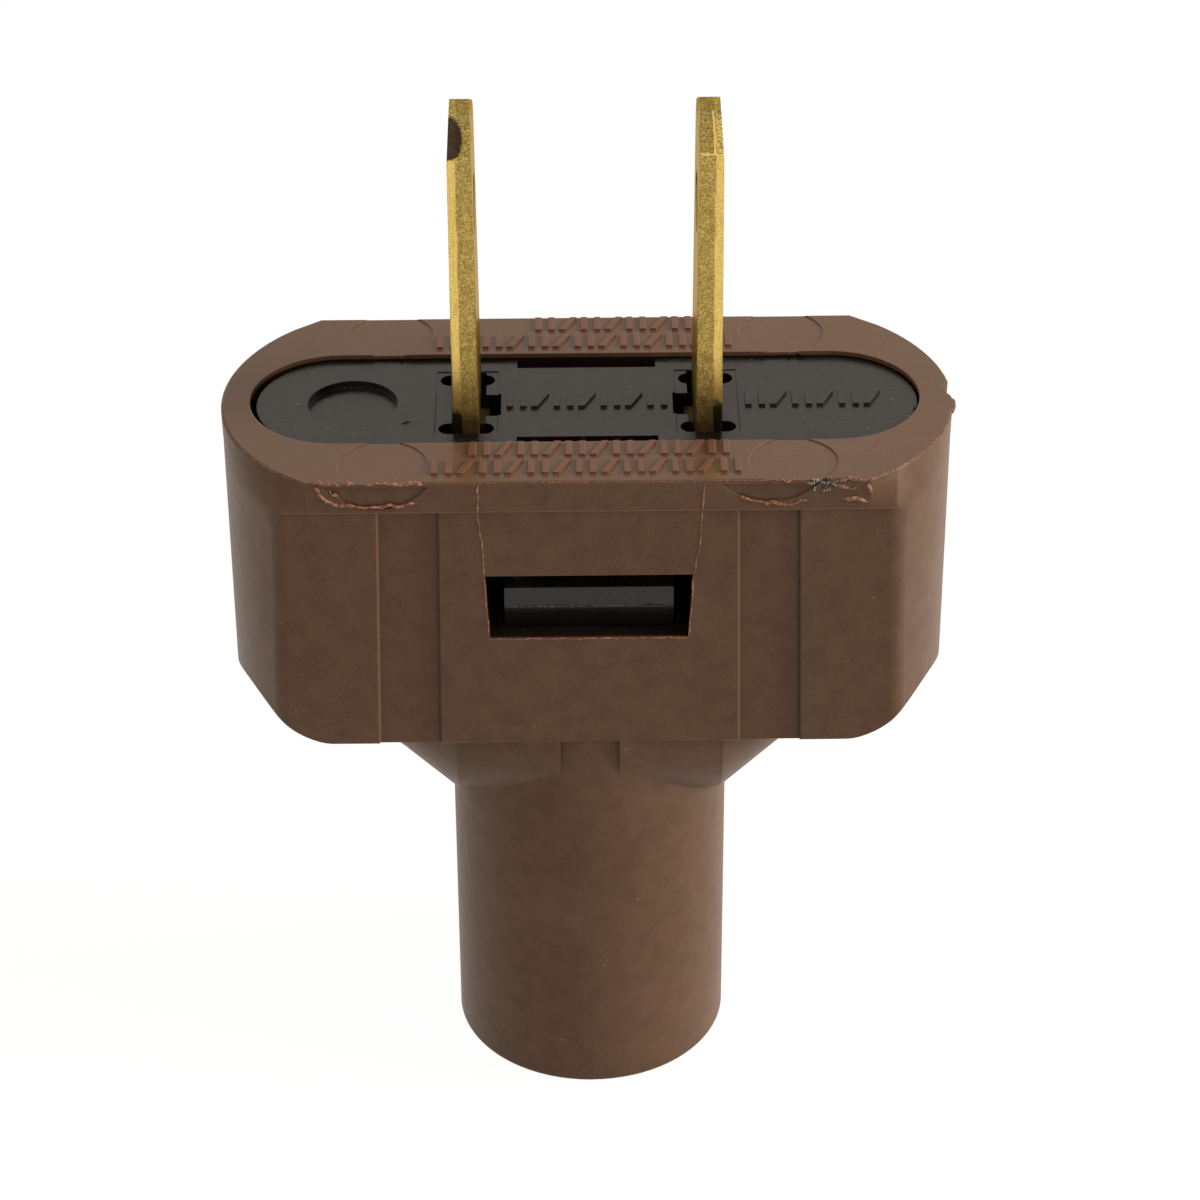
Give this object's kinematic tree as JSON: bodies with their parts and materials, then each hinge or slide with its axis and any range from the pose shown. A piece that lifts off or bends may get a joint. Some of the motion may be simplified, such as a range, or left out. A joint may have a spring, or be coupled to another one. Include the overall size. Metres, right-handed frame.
{
  "type": "type a plug",
  "caption": "Flat-blade wall plug in brown plastic, with a snap-in black blade carrier and a round cord sleeve, unwired.",
  "frame": {"origin": "centre of the cord sleeve's open end, which the plug stands on", "axes": "+Z along the plug from the cord sleeve to the blade tips, +X from the left blade to the right blade, +Y towards the back face"},
  "size_m": [0.0386, 0.0174, 0.0578],
  "materials": {
    "brown_plastic": "moulded, fine matt texture",
    "black_plastic": "moulded, satin",
    "blade_brass": "stamped, sheared edges, light tarnish",
    "screw_brass": "turned"
  },
  "bodies": {
    "root": {"housing": "brown_plastic", "blade_carrier": "black_plastic", "blade_left": "blade_brass", "blade_right": "blade_brass", "terminal_screw_left": "screw_brass", "terminal_screw_right": "screw_brass"}
  },
  "joints": []
}
